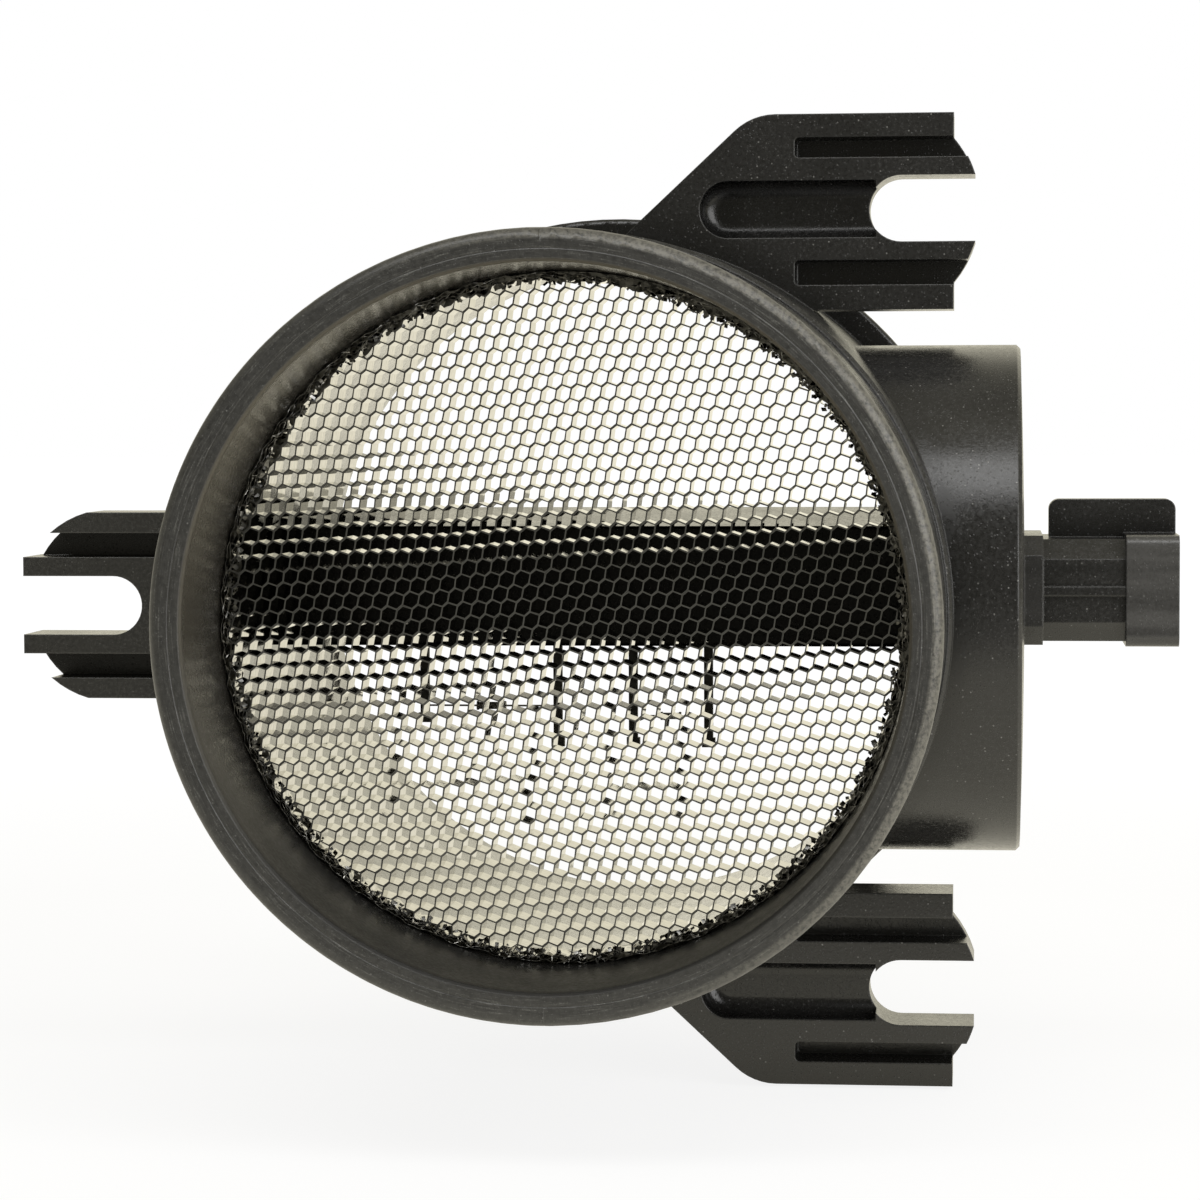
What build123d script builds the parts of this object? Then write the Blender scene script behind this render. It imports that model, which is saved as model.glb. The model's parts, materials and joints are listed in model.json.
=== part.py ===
from build123d import *
import os
from math import cos, pi, radians, sin, sqrt

# Duct type mass airflow sensor, in millimetres. The duct axis runs along Y and the air flows
# towards +Y. X points to the electronics chamber and its connector, and Z points up. The origin
# lies on the duct axis, at the stop shoulder of the inlet collar.

# ---------------------------------------------------------------- duct
collar_radius = 47.5            # outside of the inlet collar, which takes a 95 mm hose or seal
collar_length = 26.0            # from the rim to the stop shoulder
rim_edge_radius = 1.4           # rounding of the rim's outer edge
rim_face_width = 2.3            # flat ring between the rounding and the lip's chamfer
lip_depth = 0.5                 # length of the chamfer inside the rim
shoulder_step = 0.8             # the tube stands this much proud of the collar
shoulder_chamfer = 0.5
tube_growth = 1.0               # the tube widens by this much on its way to the flange
flange_y = 66.0                 # front face of the rear flange
flange_thickness = 4.0
flange_height = 3.7             # above the widest place of the tube
flange_edge = 0.8
outlet_length = 30.0            # spigot behind the flange
outlet_wall = 2.1
outlet_edge = 0.7
collar_wall = 4.3               # at the seat of the flow straightener
ledge_width = 1.0               # step that the flow straightener rests against
ledge_length = 1.5
seat_draft = 0.25               # the inlet narrows by this much down to the seat

# ---------------------------------------------------------------- flow straightener
straightener_depth = 5.0        # height of the foil cells along the duct
straightener_gap = 0.05
straightener_band = 1.1         # doubled foil round the edge
cell_pitch = 8.2
foil_thickness = 0.5
cell_tilt = 3.0                 # degrees by which the rows of cells rise towards +X
smallest_cell_area = 6.0        # cut cells below this stay closed

# ---------------------------------------------------------------- fixing tabs
tab_front_y = 34.0
tab_thickness = 10.0
tab_floor = 3.5                 # what is left under the grooves
pocket_floor = 5.4              # what is left under the long pocket
right_slot_x = 41.2             # centre of the round end of the right slots
tab_clearance = 4.75            # between the chamber and the nearest rail of the right tabs
right_slot_radius = 4.4
right_inner_rail = 2.4
right_far_groove = 2.7
right_far_rail = 3.1
right_near_groove = 3.3
right_near_rail = 3.3
right_rail_end_x = 48.1
right_groove_start_x = 27.0
right_tip_radius = 15.0
right_tip_offset = 4.6          # the tip's arc is centred this far behind the slot's round end
tab_slope = 43.0                # degrees, the outline's slope from the tube to the top edge
tab_corner_x = 21.3             # where that slope would meet the top edge
tab_corner_radius = 8.0
pocket_half_width = 3.8
pocket_start_x = 14.3
pocket_overlap = 1.0            # how far the pocket runs into the slot's round end
pocket_floor_radius = 2.2       # rounding between the pocket's floor and its wall
left_slot_reach = 18.6          # from the collar's radius to the centre of the round end
left_slot_z = -0.6
left_slot_radius = 4.0
left_inner_rail = 2.6
left_groove = 3.3
left_outer_rail = 2.8
left_rail_length = 12.5         # from the slot's centre to the rails' ends
left_groove_start = 5.0         # from the collar's radius to the start of the grooves
left_tip_radius = 13.2
groove_corner = 0.6

# ---------------------------------------------------------------- electronics chamber
chamber_y = 36.0                # axis of the round chamber, which runs along X
chamber_z = 0.6
chamber_radius = 33.7
chamber_wall = 2.7
chamber_depth = 5.0             # from the mounting pad to the inside of the cover
chamber_edge = 0.5
pad_height = 1.15               # the pad's face above the tube's crest
pad_margin = 3.6                # pad round the window of the sensor bar
rebate_width = 1.6              # step in the chamber's end that takes the cover
cover_thickness = 1.9
cover_gap = 0.1
cover_dome = 0.6
boss_radius = 3.0

# ---------------------------------------------------------------- sensor bar
bar_front_y = 22.0
bar_depth = 28.0
bar_bottom_z = -5.15
bar_front_height = 15.75
bar_top_rise = 1.75             # the top slopes up by this much towards the back
bar_wall = 2.2
bar_front_wall = 2.5
bar_edge = 0.5
bar_gap = 0.2                   # between the bar and the window or the bore
bar_lid_thickness = 1.8
bar_lid_gap = 0.05
bar_end_wall = 2.5              # closes the trough at the far end
peg_radius = 2.0
peg_length = 2.2
peg_gap = 0.1
head_thickness = 1.8
head_side_cut = 10.5            # the head's round outline is cut flat by this much at the sides
head_bottom_cut = 0.9           # and at the bottom
head_top_margin = 5.15          # from the bar's highest place up to the head's top
head_gap = 0.45                 # between the head and the cover's spigot
gasket_width = 1.5
gasket_thickness = 0.8
gasket_gap = 0.05

# ---------------------------------------------------------------- posts and elements
post_x = (-23.4, -5.2, 5.05, 15.25)
post_bottom_z = (-16.5, -19.7, -19.7, -19.7)
lane_offset_y = (-7.5, 7.5, -3.5, 3.5)
strip_width = 1.4
strip_thickness = 0.6
post_width = 1.2
post_depth = 0.9
post_hole_gap = 0.02
weld_pad_width = 1.8
weld_pad_height = 1.3
lead_overhang = 0.8             # the strips end this far outside the bar's head
element_wire_radius = 0.13
heated_length = 2.8
heated_radius = 0.45
heated_z = -15.5
heated_wire_z = -16.2           # where its left wire leaves the post
air_length = 4.0
air_radius = 0.5
air_z = -14.2
bobbin_collar = 0.3             # width of the raised ends of a bobbin
bobbin_lip = 0.12               # height of the raised ends

# ---------------------------------------------------------------- electronics
board_top_z = -7.6
board_thickness = 0.7
spreader_inset = 7.5            # from the head's edge up to the plate's lower edge
spreader_corner_inset = 2.5     # from the head's edge in to the plate's lower corners
spreader_margin = 0.8
spreader_thickness = 1.0
chip_height = 0.9
control_chip_size = (7.0, 6.0)
control_chip_at = (-0.52, 0.05)  # shares of half the board's width and height, from its middle
amplifier_chip_size = (4.2, 4.0)
amplifier_chip_at = (0.12, -0.27)
capacitor_size = (2.0, 1.2, 0.8)
capacitor_at = ((0.47, -0.6), (0.47, -0.1), (0.73, -0.6))
resistor_size = (1.0, 1.8, 0.5)
resistor_at = ((-0.87, -0.57), (-0.87, 0.17), (0.29, 0.4), (0.73, 0.07), (0.88, 0.07))
bond_radius = 0.12
bond_rise = 0.7
bond_inset = 1.0                # bond wires land this far inside the board's upper edge
terminal_bond_at = (-0.03, 0.38, 0.68, 0.8, 0.92)  # shares of half the board's width
screw_y = 9.0                   # on both sides of the chamber's axis
screw_inset = 3.2               # from the head's round edge to the screws
screw_radius = 1.1
screw_length = 5.0
screw_gap = 0.02
screw_head_radius = 2.1
screw_head_height = 1.4
screw_drive_radius = 1.1
screw_drive_depth = 0.7

# ---------------------------------------------------------------- cover and connector
spigot_gap = 0.15
spigot_wall = 2.4
spigot_length = 4.4
seal_radius = 0.9
seal_offset = 2.0               # from the cover's plate to the middle of the seal
groove_slack = 0.2
connector_y = 46.0
connector_z = 1.6
neck_width = 25.0
neck_height = 13.6
neck_chamfer = 2.6
neck_rib_height = 1.2           # rib along the middle of the neck's front and back
neck_rib_depth = 0.4
foot_length = 3.1
foot_rim = 0.5                  # the foot stands proud of the neck by this much
neck_length = 10.9
end_length = 7.0
end_rim = 0.6                   # the end collar stands proud of the neck by this much
end_radius = 1.6
key_thickness = 4.0
key_height = 4.55
key_setback = 0.9               # from the foot to the key
key_radius = 1.4
socket_wall = 1.7
socket_floor = 3.0              # closed length of the neck behind the socket
terminal_count = 5
terminal_pitch = 3.9
terminal_width = 1.5
terminal_thickness = 0.8
terminal_setback = 5.0          # the tips lie this far inside the socket's mouth
terminal_tail = 1.0             # the tails stand this far inside the cover
terminal_gap = 0.02
terminal_point = 0.5

# ---------------------------------------------------------------- worked out
tube_front_radius = collar_radius + shoulder_step
tube_rear_radius = tube_front_radius + tube_growth
flange_radius = tube_rear_radius + flange_height
flange_back_y = flange_y + flange_thickness
outlet_y = flange_back_y + outlet_length
outlet_radius = tube_rear_radius
outlet_bore_radius = outlet_radius - outlet_wall
rim_y = -collar_length
lip_radius = collar_radius - rim_edge_radius - rim_face_width
seat_radius = collar_radius - collar_wall
straightener_radius = seat_radius - straightener_gap
inlet_radius = seat_radius + seat_draft
ledge_radius = seat_radius - ledge_width
bar_back_y = bar_front_y + bar_depth
bar_mid_y = bar_front_y + bar_depth / 2
bar_front_top_z = bar_bottom_z + bar_front_height
bar_back_top_z = bar_front_top_z + bar_top_rise
trough_bottom_z = bar_bottom_z + bar_wall
right_slot_z = (
    chamber_z + chamber_radius + tab_clearance
    + right_near_rail + right_near_groove + right_inner_rail + right_slot_radius)
left_slot_x = -collar_radius - left_slot_reach
left_rail_end_x = left_slot_x - left_rail_length
left_groove_end_x = -collar_radius - left_groove_start


def tube_radius_at(y):
    """Outer radius of the tube between the shoulder and the flange."""
    return tube_front_radius + tube_growth * y / flange_y


def bore_radius_at(y):
    """Radius of the bore behind the straightener's ledge."""
    share = (y - ledge_length) / (outlet_y - ledge_length)
    return ledge_radius + (outlet_bore_radius - ledge_radius) * share


pad_x = tube_radius_at(chamber_y) + pad_height
cover_inner_x = pad_x + chamber_depth
chamber_end_x = cover_inner_x + cover_thickness
head_x = pad_x + head_thickness
board_x = head_x + spreader_thickness
chip_x = board_x + board_thickness
cavity_radius = chamber_radius - chamber_wall
head_radius = cavity_radius - spigot_gap - spigot_wall - head_gap
head_half_width = head_radius - head_side_cut
head_bottom_z = chamber_z - head_radius + head_bottom_cut
head_top_z = bar_back_top_z + head_top_margin
screw_z = chamber_z - sqrt((head_radius - screw_inset) ** 2 - screw_y ** 2)
spreader_bottom_z = chamber_z - head_radius + spreader_inset
spreader_reach = sqrt(
    (head_radius - spreader_corner_inset) ** 2 - (head_radius - spreader_inset) ** 2)
board_half_width = spreader_reach - spreader_margin
board_bottom_z = spreader_bottom_z + spreader_margin
board_half_height = (board_top_z - board_bottom_z) / 2
board_mid_z = (board_top_z + board_bottom_z) / 2
foot_end_x = chamber_end_x + foot_length
neck_end_x = foot_end_x + neck_length
mouth_x = neck_end_x + end_length
terminal_tip_x = mouth_x - terminal_setback
terminal_tail_x = cover_inner_x - terminal_tail


# ---------------------------------------------------------------- helpers
def save(node, shape):
    """Write one piece, or one group of like pieces, as its own file."""
    export_step(shape, f"parts/{node}.step")


def block(low, high):
    """Box between two corners."""
    size = [b - a for a, b in zip(low, high)]
    middle = [(a + b) / 2 for a, b in zip(low, high)]
    return Pos(*middle) * Box(*size)


def along_x(face, x_start, x_end):
    """Prism along X of a face drawn in Y and Z."""
    plane = Plane(origin=(x_start, 0, 0), x_dir=(0, 1, 0), z_dir=(1, 0, 0))
    return extrude(plane * face, x_end - x_start)


def along_y(face, y_start, y_end):
    """Prism along Y of a face drawn in X and Z."""
    plane = Plane(origin=(0, y_end, 0), x_dir=(1, 0, 0), z_dir=(0, -1, 0))
    return extrude(plane * face, y_end - y_start)


def polygon(points):
    return make_face(Polyline(*points, close=True))


def rectangle(low, high):
    """Rectangle between two corners of a drawing plane."""
    middle = ((low[0] + high[0]) / 2, (low[1] + high[1]) / 2)
    return Pos(*middle) * Rectangle(high[0] - low[0], high[1] - low[1])


def rounded(face, corner, radius):
    """The face with the corner nearest to a point rounded."""
    return fillet(face.vertices().sort_by_distance(Vector(*corner, 0))[0], radius)


def turned(points):
    """Solid of revolution about the duct axis, from pairs of radius and Y."""
    return revolve(polygon(points), Axis.Y)


def rod(start, end, radius):
    """Round rod between two points."""
    start, end = Vector(*start), Vector(*end)
    plane = Plane(origin=start, z_dir=end - start)
    return extrude(plane * Circle(radius), (end - start).length)


def wire(points, radius):
    """Round wire through a few points, with rounded bends."""
    result = rod(points[0], points[1], radius)
    for start, end in zip(points[1:], points[2:]):
        result += Pos(*start) * Sphere(radius)
        result += rod(start, end, radius)
    return result


# ---------------------------------------------------------------- housing
def duct_outside():
    """Collar, tube, flange and spigot as one solid of revolution."""
    outline = polygon([
        (0, rim_y),
        (collar_radius, rim_y),
        (collar_radius, 0),
        (tube_front_radius - shoulder_chamfer, 0),
        (tube_front_radius, shoulder_chamfer),
        (tube_rear_radius, flange_y),
        (flange_radius, flange_y),
        (flange_radius, flange_back_y),
        (outlet_radius, flange_back_y),
        (outlet_radius, outlet_y),
        (0, outlet_y),
    ])
    outline = rounded(outline, (collar_radius, rim_y), rim_edge_radius)
    outline = rounded(outline, (flange_radius, flange_y), flange_edge)
    outline = rounded(outline, (flange_radius, flange_back_y), flange_edge)
    outline = rounded(outline, (outlet_radius, outlet_y), outlet_edge)
    return revolve(outline, Axis.Y)


def bore():
    """The air's way: lip, straightener's seat, ledge and widening bore."""
    return turned([
        (0, rim_y),
        (lip_radius, rim_y),
        (inlet_radius, rim_y + lip_depth),
        (seat_radius, -straightener_depth),
        (seat_radius, 0),
        (ledge_radius, 0),
        (ledge_radius, ledge_length),
        (outlet_bore_radius, outlet_y),
        (0, outlet_y),
    ])


def right_tab():
    """Upper right tab: web, two pairs of rails, long pocket and open slot."""
    back_y = tab_front_y + tab_thickness
    slot = (right_slot_x, right_slot_z)
    rail_out = right_slot_radius + right_inner_rail
    far_groove_out = rail_out + right_far_groove
    near_groove_out = rail_out + right_near_groove
    top_z = right_slot_z + far_groove_out + right_far_rail
    low_z = right_slot_z - near_groove_out - right_near_rail
    inner_z = bore_radius_at(tab_front_y) * cos(radians(tab_slope))
    slope_run = (top_z - inner_z) / (sin(radians(tab_slope)) / cos(radians(tab_slope)))
    outline = polygon([
        (tab_corner_x - slope_run, inner_z),
        (tab_corner_x, top_z),
        (right_rail_end_x, top_z),
        (right_rail_end_x, low_z),
        (0, low_z),
    ])
    outline = rounded(outline, (tab_corner_x, top_z), tab_corner_radius)
    tip_disc = Pos(right_slot_x - right_tip_offset, right_slot_z) * Circle(right_tip_radius)
    reach = right_slot_x + right_tip_radius
    beyond_rails = rectangle((right_rail_end_x, low_z), (reach, top_z))
    inner_strip = rectangle(
        (right_slot_x, right_slot_z - rail_out), (reach, right_slot_z + rail_out))
    tab = along_y(outline, tab_front_y, back_y)
    tab += along_y(tip_disc & beyond_rails, back_y - tab_floor, back_y)
    tab += along_y(tip_disc & inner_strip, tab_front_y, back_y)
    far_groove = rectangle(
        (right_groove_start_x, right_slot_z + rail_out), (reach, right_slot_z + far_groove_out))
    near_groove = rectangle(
        (right_groove_start_x, right_slot_z - near_groove_out), (reach, right_slot_z - rail_out))
    for groove in (far_groove, near_groove):
        start = groove.vertices().sort_by(Axis.X)[0:2]
        tab -= along_y(fillet(start, groove_corner), tab_front_y, back_y - tab_floor)
    pocket_end_x = right_slot_x - right_slot_radius + pocket_overlap
    pocket = rectangle(
        (pocket_start_x + pocket_half_width, right_slot_z - pocket_half_width),
        (pocket_end_x, right_slot_z + pocket_half_width))
    pocket += Pos(pocket_start_x + pocket_half_width, right_slot_z) * Circle(pocket_half_width)
    pocket_solid = along_y(pocket, tab_front_y, back_y - pocket_floor)
    floor_edges = pocket_solid.edges().group_by(Axis.Y)[-1].sort_by(Axis.X)[:-1]
    pocket_solid = fillet(floor_edges, pocket_floor_radius)
    slot_shape = rectangle(
        (right_slot_x, right_slot_z - right_slot_radius), (reach, right_slot_z + right_slot_radius))
    slot_shape += Pos(*slot) * Circle(right_slot_radius)
    return tab - pocket_solid - along_y(slot_shape, tab_front_y, back_y)


def left_tab():
    """Left tab: open slot with one pair of rails on each side, cut to an arc at the tip."""
    back_y = tab_front_y + tab_thickness
    rail_out = left_slot_radius + left_inner_rail
    groove_out = rail_out + left_groove
    half_height = groove_out + left_outer_rail
    root_x = -bore_radius_at(tab_front_y)
    tip_disc = Pos(left_slot_x, left_slot_z) * Circle(left_tip_radius)
    outline = rectangle(
        (left_slot_x, left_slot_z - half_height), (root_x, left_slot_z + half_height))
    head = rectangle(
        (left_rail_end_x, left_slot_z - half_height), (left_slot_x, left_slot_z + half_height))
    outline += tip_disc & head
    inner_rails = rectangle(
        (left_rail_end_x, left_slot_z - rail_out), (left_slot_x, left_slot_z + rail_out))
    tab = along_y(outline + inner_rails, tab_front_y, back_y)
    for side in (-1, 1):
        edges = sorted((left_slot_z + side * rail_out, left_slot_z + side * groove_out))
        groove = rectangle((left_rail_end_x, edges[0]), (left_groove_end_x, edges[1]))
        tab -= along_y(groove, tab_front_y, back_y - tab_floor)
    slot_shape = rectangle(
        (left_rail_end_x, left_slot_z - left_slot_radius),
        (left_slot_x, left_slot_z + left_slot_radius))
    slot_shape += Pos(left_slot_x, left_slot_z) * Circle(left_slot_radius)
    return tab - along_y(slot_shape, tab_front_y, back_y)


def chamber_circle(radius):
    """Circle about the chamber's axis, drawn in Y and Z."""
    return Pos(chamber_y, chamber_z) * Circle(radius)


def bar_section(grow=0):
    """Outline of the sensor bar in Y and Z, grown by a clearance."""
    return polygon([
        (bar_front_y - grow, bar_bottom_z - grow),
        (bar_back_y + grow, bar_bottom_z - grow),
        (bar_back_y + grow, bar_back_top_z + grow),
        (bar_front_y - grow, bar_front_top_z + grow),
    ])


def chamber_solid():
    """Round chamber wall, mounting pad and screw bosses, before the duct is bored."""
    root_x = sqrt(bore_radius_at(chamber_y) ** 2 - (chamber_radius - chamber_wall) ** 2)
    wall = along_x(chamber_circle(chamber_radius), root_x, chamber_end_x)
    wall = chamfer(wall.edges().sort_by(Axis.X)[-1], chamber_edge)
    cavity = along_x(chamber_circle(cavity_radius), root_x, chamber_end_x)
    rebate = along_x(chamber_circle(cavity_radius + rebate_width), cover_inner_x, chamber_end_x)
    pad = block(
        (root_x, bar_front_y - pad_margin, bar_bottom_z - pad_margin),
        (pad_x, bar_back_y + pad_margin, bar_back_top_z + pad_margin))
    result = wall - cavity - rebate + pad
    for side in (-1, 1):
        boss = Pos(chamber_y + side * screw_y, screw_z) * Circle(boss_radius)
        result += along_x(boss, root_x, pad_x)
    return result


def housing():
    """Duct, chamber and tabs, one moulding."""
    body = duct_outside() + chamber_solid() + left_tab()
    upper_tab = right_tab()
    body += upper_tab
    body += mirror(upper_tab, Plane.XY)
    body -= bore()
    body -= along_x(chamber_circle(cavity_radius), pad_x, cover_inner_x)
    body -= along_x(bar_section(bar_gap), 0, pad_x)
    body -= along_x(bar_section(gasket_width + gasket_gap), pad_x - gasket_thickness, pad_x)
    for side in (-1, 1):
        hole = Pos(chamber_y + side * screw_y, screw_z) * Circle(screw_radius + screw_gap)
        body -= along_x(hole, head_x - screw_length, pad_x)
    peg_hole = Pos(bar_mid_y, peg_z()) * Circle(peg_radius + peg_gap)
    body -= along_x(peg_hole, peg_end_x() - peg_gap, 0)
    return body


def peg_z():
    """Height of the locating peg at the bar's far end."""
    return (bar_bottom_z + bar_front_top_z) / 2


def peg_end_x():
    return -bore_radius_at(bar_mid_y) - peg_length


# ---------------------------------------------------------------- flow straightener
def flow_straightener():
    """Foil disc with pointed hexagonal cells inside a doubled edge band."""
    disc = Circle(straightener_radius)
    opening = Circle(straightener_radius - straightener_band)
    row_pitch = cell_pitch * sqrt(3) / 2
    cell_radius = (cell_pitch - foil_thickness) / sqrt(3)
    rows = int(straightener_radius / row_pitch) + 1
    columns = int(straightener_radius / cell_pitch) + 1
    cells = []
    for row in range(-rows, rows + 1):
        shift = (row % 2) / 2
        for column in range(-columns, columns + 1):
            centre = Pos((column + shift) * cell_pitch, row * row_pitch)
            cell = centre * Rot(0, 0, 90) * RegularPolygon(cell_radius, 6)
            cells += [part for part in (cell & opening).faces() if part.area > smallest_cell_area]
    grille = Rot(0, 0, cell_tilt) * (disc - cells)
    return along_y(grille, -straightener_depth, 0)


# ---------------------------------------------------------------- sensor bar
def trough_section():
    """Hollow of the bar in Y and Z, open at the back."""
    wall_y = bar_front_y + bar_front_wall
    slope = bar_top_rise / bar_depth
    front_top = bar_front_top_z + slope * bar_front_wall - bar_wall
    return polygon([
        (wall_y, trough_bottom_z),
        (bar_back_y, trough_bottom_z),
        (bar_back_y, bar_back_top_z - bar_wall),
        (wall_y, front_top),
    ])


def bore_filler(gap):
    """What lies inside the bore, less a clearance, used to shape the bar's far end."""
    return turned([
        (0, ledge_length),
        (ledge_radius - gap, ledge_length),
        (outlet_bore_radius - gap, outlet_y),
        (0, outlet_y),
    ])


def far_end_x():
    """Where the trough ends, inside the bar's rounded far end."""
    corner = max(-bar_bottom_z, bar_back_top_z)
    return bar_end_wall - sqrt(bore_radius_at(bar_front_y) ** 2 - corner ** 2)


def sensor_bar():
    """Hollow bar with a rounded far end, a locating peg and a mounting head in the chamber."""
    blade = along_x(bar_section(), -outlet_bore_radius, 0) & bore_filler(bar_gap)
    blade += along_x(bar_section(), 0, pad_x)
    peg = Pos(bar_mid_y, peg_z()) * Circle(peg_radius)
    blade += along_x(peg, peg_end_x(), -bore_radius_at(bar_mid_y) / 2)
    front_edges = blade.edges().filter_by(Axis.X).group_by(Axis.Y)[0]
    blade = fillet(front_edges, bar_edge)
    head = chamber_circle(head_radius) & rectangle(
        (chamber_y - head_half_width, head_bottom_z), (chamber_y + head_half_width, head_top_z))
    bar = blade + along_x(head, pad_x, head_x)
    bar -= along_x(trough_section(), far_end_x(), head_x)
    for x in post_x:
        bar -= block(
            (x - post_width / 2 - post_hole_gap, bar_mid_y - post_depth / 2 - post_hole_gap,
             bar_bottom_z),
            (x + post_width / 2 + post_hole_gap, bar_mid_y + post_depth / 2 + post_hole_gap,
             trough_bottom_z))
    for side in (-1, 1):
        hole = Pos(chamber_y + side * screw_y, screw_z) * Circle(screw_radius + screw_gap)
        bar -= along_x(hole, pad_x, head_x)
    return bar


def bar_back_cover():
    """Lid that closes the trough, flush with the back of the bar."""
    slab = along_x(trough_section(), far_end_x() + bar_lid_gap, pad_x - bar_gap)
    gap_z = bar_lid_gap
    keep = block(
        (far_end_x(), bar_back_y - bar_lid_thickness, trough_bottom_z + gap_z),
        (pad_x, bar_back_y, bar_back_top_z - bar_wall - gap_z))
    return slab & keep


def bar_gasket():
    """Flat gasket in the seat round the window, under the head of the bar."""
    ring = bar_section(gasket_width) - bar_section(gasket_gap)
    return along_x(ring, pad_x - gasket_thickness, pad_x)


def sensor_lead(index):
    """Flat strip on the trough's floor, a cross piece to the middle and the post below it."""
    x = post_x[index]
    lane_y = bar_mid_y + lane_offset_y[index]
    floor_z = trough_bottom_z
    top_z = floor_z + strip_thickness
    half = strip_width / 2
    strip = block((x - half, lane_y - half, floor_z), (head_x + lead_overhang, lane_y + half, top_z))
    low_y, high_y = sorted((lane_y, bar_mid_y))
    cross = block((x - half, low_y - half, floor_z), (x + half, high_y + half, top_z))
    bottom_z = post_bottom_z[index]
    post = block(
        (x - post_width / 2, bar_mid_y - post_depth / 2, bottom_z),
        (x + post_width / 2, bar_mid_y + post_depth / 2, top_z))
    pad = block(
        (x - weld_pad_width / 2, bar_mid_y - post_depth / 2, bottom_z),
        (x + weld_pad_width / 2, bar_mid_y + post_depth / 2, bottom_z + weld_pad_height))
    return strip + cross + post + pad


def bobbin(x, z, length, radius):
    """Small wound element along X with raised ends."""
    axis = Pos(bar_mid_y, z)
    low, high = x - length / 2, x + length / 2
    core = along_x(axis * Circle(radius), low, high)
    core += along_x(axis * Circle(radius + bobbin_lip), low, low + bobbin_collar)
    return core + along_x(axis * Circle(radius + bobbin_lip), high - bobbin_collar, high)


def element_wires(left_index, z, left_z, length):
    """Two wires from the posts to the ends of an element, the left one with a bend."""
    left_x = post_x[left_index] + post_width / 2
    right_x = post_x[left_index + 1] - post_width / 2
    middle = (left_x + right_x) / 2
    bend_x = (left_x + middle - length / 2) / 2
    y = bar_mid_y
    left = wire([(left_x, y, left_z), (bend_x, y, z), (middle - length / 2, y, z)],
                element_wire_radius)
    right = wire([(middle + length / 2, y, z), (right_x, y, z)], element_wire_radius)
    return Compound(children=[left - sensor_lead(left_index), right])


# ---------------------------------------------------------------- electronics
def heat_spreader():
    return block(
        (head_x, chamber_y - spreader_reach, spreader_bottom_z),
        (board_x, chamber_y + spreader_reach, board_top_z))


def circuit_board():
    return block(
        (board_x, chamber_y - board_half_width, board_bottom_z),
        (chip_x, chamber_y + board_half_width, board_top_z))


def on_board(place, size, height):
    """Block on the board: its place as shares of half the board, and its size along Y and Z."""
    y = chamber_y + place[0] * board_half_width
    z = board_mid_z + place[1] * board_half_height
    return block(
        (chip_x, y - size[0] / 2, z - size[1] / 2),
        (chip_x + height, y + size[0] / 2, z + size[1] / 2))


def chip_group(places, size):
    return Compound(children=[on_board(place, size[:2], size[2]) for place in places])


def module_screw(side):
    """Pan head screw through the bar's head into a boss."""
    centre = Pos(chamber_y + side * screw_y, screw_z)
    shank = along_x(centre * Circle(screw_radius), head_x - screw_length, head_x)
    head = along_x(centre * Circle(screw_head_radius), head_x, head_x + screw_head_height)
    head = fillet(head.edges().group_by(Axis.X)[-1], screw_head_height / 3)
    drive = centre * RegularPolygon(screw_drive_radius, 6)
    drive_start = head_x + screw_head_height - screw_drive_depth
    return shank + head - along_x(drive, drive_start, head_x + screw_head_height)


def terminal_y(index):
    return connector_y + (index - (terminal_count - 1) / 2) * terminal_pitch


def lead_bond_wires():
    """Wires from the ends of the four strips to the board."""
    start_x = head_x + lead_overhang
    start_z = trough_bottom_z + strip_thickness / 2
    end_z = board_top_z - bond_inset
    wires = []
    for index, offset in enumerate(lane_offset_y):
        y = bar_mid_y + offset
        top = (chip_x + bond_rise, y, (start_z + end_z) / 2)
        loop = wire([(start_x, y, start_z), top, (chip_x, y, end_z)], bond_radius)
        wires.append(loop - circuit_board() - sensor_lead(index))
    return Compound(children=wires)


def terminal_bond_wires():
    """Wires from the tails of the terminals to the board."""
    end_z = board_top_z - 2 * bond_inset
    top_x = terminal_tail_x - bond_rise / 2
    wires = []
    for index, share in enumerate(terminal_bond_at):
        start = (terminal_tail_x, terminal_y(index), connector_z)
        top = (top_x, terminal_y(index), connector_z - bond_inset)
        end = (chip_x, chamber_y + share * board_half_width, end_z)
        loop = wire([start, top, end], bond_radius)
        wires.append(loop - circuit_board() - terminal(index))
    return Compound(children=wires)


# ---------------------------------------------------------------- cover and connector
def centred_box(width, height, corner):
    """Rectangle about the connector's axis in Y and Z with rounded corners."""
    return Pos(connector_y, connector_z) * RectangleRounded(width, height, corner)


def cover_plate():
    """Slightly domed disc with a sealing spigot behind it."""
    radius = cavity_radius + rebate_width - cover_gap
    rim_x = chamber_end_x
    outline = make_face([
        Line((cover_inner_x, 0), (cover_inner_x, radius)),
        Line((cover_inner_x, radius), (rim_x, radius)),
        ThreePointArc(
            (rim_x, radius), (rim_x + cover_dome * 3 / 4, radius / 2), (rim_x + cover_dome, 0)),
        Line((rim_x + cover_dome, 0), (cover_inner_x, 0)),
    ])
    axis = Axis((0, chamber_y, chamber_z), (1, 0, 0))
    plate = revolve(Pos(0, chamber_y, chamber_z) * outline, axis)
    spigot_radius = cavity_radius - spigot_gap
    spigot = chamber_circle(spigot_radius) - chamber_circle(spigot_radius - spigot_wall)
    plate += along_x(spigot, cover_inner_x - spigot_length, cover_inner_x)
    seal_x = cover_inner_x - seal_offset
    half_groove = seal_radius + groove_slack
    groove = chamber_circle(cavity_radius) - chamber_circle(cavity_radius - 2 * seal_radius)
    return plate - along_x(groove, seal_x - half_groove, seal_x + half_groove)


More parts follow.
